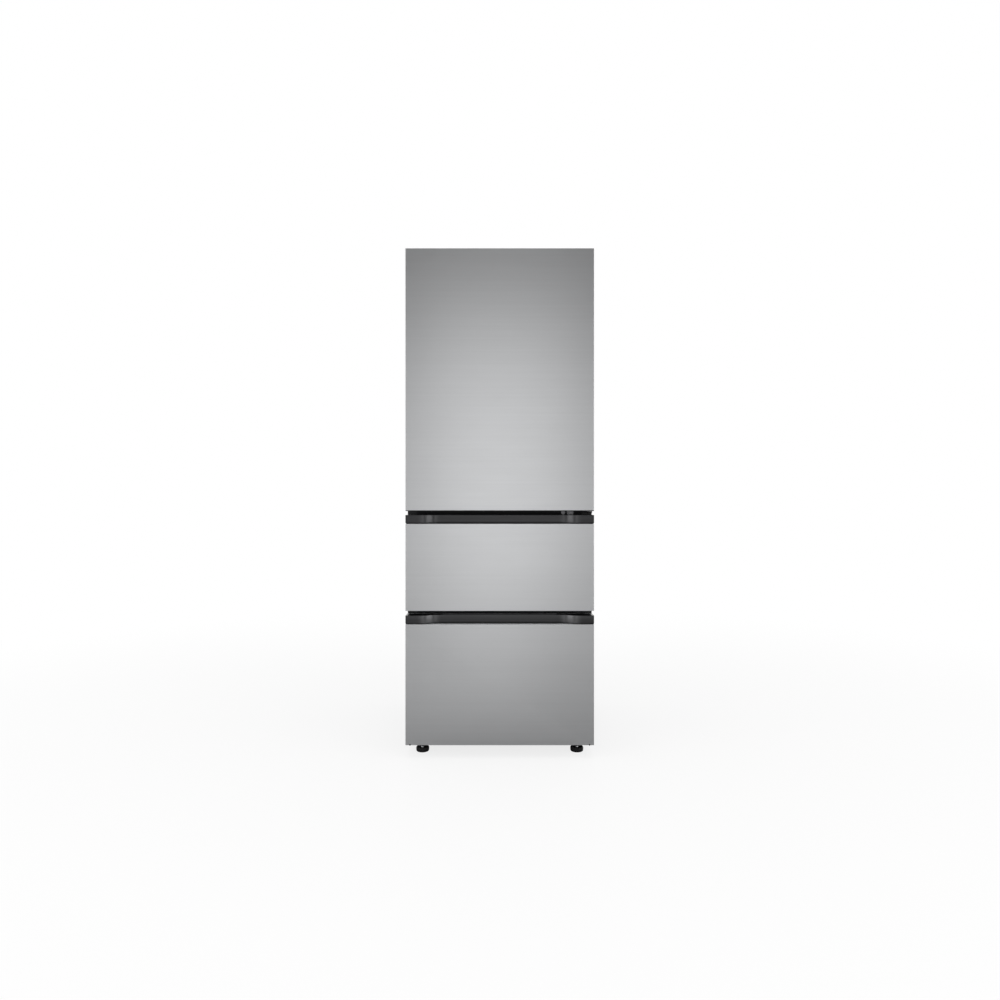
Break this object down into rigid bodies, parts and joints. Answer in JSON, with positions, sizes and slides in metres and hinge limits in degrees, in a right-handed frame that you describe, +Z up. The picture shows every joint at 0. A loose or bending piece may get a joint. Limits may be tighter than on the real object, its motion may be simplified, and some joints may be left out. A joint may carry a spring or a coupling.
{
  "type": "kimchi refrigerator",
  "caption": "Upright kimchi refrigerator with a hinged upper door, pull-out lower drawers, lidded food containers and a rear machine room.",
  "frame": {"origin": "on the floor under the middle of the whole refrigerator", "axes": "+X to the right as seen from the front, +Y to the back, +Z up"},
  "size_m": [0.666, 0.708, 1.8075],
  "materials": {
    "front_metal": "satin",
    "trim_grey": "satin",
    "case_grey": "satin",
    "back_sheet": "matte",
    "base_sheet": "matte",
    "foam": "matte",
    "liner_plastic": "satin",
    "black_strip": "satin",
    "plated_steel": "satin",
    "dark_plastic": "matte",
    "duct_plastic": "satin",
    "basket_plastic": "satin",
    "fin_aluminium": "matte",
    "glass": "gloss",
    "control_black": "satin",
    "lamp_lens": "satin",
    "black_enamel": "satin",
    "rubber": "matte",
    "seal_rubber": "matte",
    "copper": "satin",
    "box_plastic": "satin",
    "lid_plastic": "satin",
    "bush_plastic": "satin",
    "foot_plastic": "matte"
  },
  "bodies": {
    "cabinet": {"outer_case": "case_grey", "back_panel": "back_sheet", "base_plate": "base_sheet", "insulation_foam": "foam", "upper_liner": "liner_plastic", "middle_liner": "liner_plastic", "lower_liner": "liner_plastic", "mullion_covers": "black_strip", "top_hinge": "plated_steel", "hinge_cover": "dark_plastic", "middle_hinge": "black_strip", "cabinet_fasteners": "plated_steel", "air_duct_cover": "duct_plastic", "evaporator": "fin_aluminium", "fan_motors": "dark_plastic", "shelf_glass": "glass", "shelf_frames": "duct_plastic", "control_panel": "control_black", "room_lamp": "lamp_lens", "compressor": "black_enamel", "rubber_grommets": "rubber", "condenser": "black_enamel", "drain_pan": "dark_plastic", "refrigerant_pipes": "copper", "machine_room_cover": "back_sheet", "board_cover": "duct_plastic", "rails_outer": "plated_steel", "upper_boxes": "box_plastic", "upper_lids": "lid_plastic"},
    "door": {"door_panel": "front_metal", "door_foam": "foam", "door_liner": "liner_plastic", "door_top_cap": "dark_plastic", "door_bottom_cap": "dark_plastic", "door_gasket": "seal_rubber", "door_bushes": "bush_plastic"},
    "middle_drawer": {"middle_panel": "front_metal", "middle_handle": "trim_grey", "middle_front_liner": "liner_plastic", "middle_gasket": "seal_rubber", "middle_basket": "basket_plastic", "middle_rails_inner": "plated_steel", "middle_boxes": "box_plastic", "middle_lids": "lid_plastic"},
    "middle_slide": {"middle_rails_center": "plated_steel"},
    "lower_drawer": {"lower_panel": "front_metal", "lower_handle": "trim_grey", "lower_front_liner": "liner_plastic", "lower_gasket": "seal_rubber", "lower_basket": "basket_plastic", "lower_rails_inner": "plated_steel", "lower_boxes": "box_plastic", "lower_lids": "lid_plastic"},
    "lower_slide": {"lower_rails_center": "plated_steel"},
    "evaporator_fan": {"evaporator_fan": "dark_plastic"},
    "condenser_fan": {"condenser_fan": "dark_plastic"},
    "roller_left": {"roller_left": "foot_plastic"},
    "roller_right": {"roller_right": "foot_plastic"},
    "foot_left": {"foot_left": "foot_plastic"},
    "foot_right": {"foot_right": "foot_plastic"}
  },
  "joints": [
    {"name": "door_hinge", "type": "hinge", "parent": "cabinet", "child": "door", "pos_m": [0.321, -0.316, 1.3375], "axis": [0, 0, 1], "range_deg": [0, 130]},
    {"name": "middle_drawer_slide", "type": "slide", "parent": "cabinet", "child": "middle_drawer", "axis": [0, -1, 0], "range_m": [0, 0.42]},
    {"name": "middle_rail_slide", "type": "slide", "parent": "cabinet", "child": "middle_slide", "axis": [0, -1, 0], "range_m": [0, 0.21]},
    {"name": "lower_drawer_slide", "type": "slide", "parent": "cabinet", "child": "lower_drawer", "axis": [0, -1, 0], "range_m": [0, 0.42]},
    {"name": "lower_rail_slide", "type": "slide", "parent": "cabinet", "child": "lower_slide", "axis": [0, -1, 0], "range_m": [0, 0.21]},
    {"name": "evaporator_fan_spin", "type": "hinge", "parent": "cabinet", "child": "evaporator_fan", "pos_m": [0, 0.2605, 1.238], "axis": [0, 1, 0], "continuous": true},
    {"name": "condenser_fan_spin", "type": "hinge", "parent": "cabinet", "child": "condenser_fan", "pos_m": [0.034, 0.238, 0.1115], "axis": [1, 0, 0], "continuous": true},
    {"name": "roller_left_spin", "type": "hinge", "parent": "cabinet", "child": "roller_left", "pos_m": [-0.245, 0.294, 0.014], "axis": [1, 0, 0], "continuous": true},
    {"name": "foot_left_turn", "type": "hinge", "parent": "cabinet", "child": "foot_left", "pos_m": [-0.28, -0.274, 0.01], "axis": [0, 0, 1], "continuous": true},
    {"name": "roller_right_spin", "type": "hinge", "parent": "cabinet", "child": "roller_right", "pos_m": [0.245, 0.294, 0.014], "axis": [1, 0, 0], "continuous": true},
    {"name": "foot_right_turn", "type": "hinge", "parent": "cabinet", "child": "foot_right", "pos_m": [0.28, -0.274, 0.01], "axis": [0, 0, 1], "continuous": true}
  ],
  "couplings": [
    {"joint": "middle_rail_slide", "follows": "middle_drawer_slide", "ratio": 0.5},
    {"joint": "lower_rail_slide", "follows": "lower_drawer_slide", "ratio": 0.5}
  ]
}
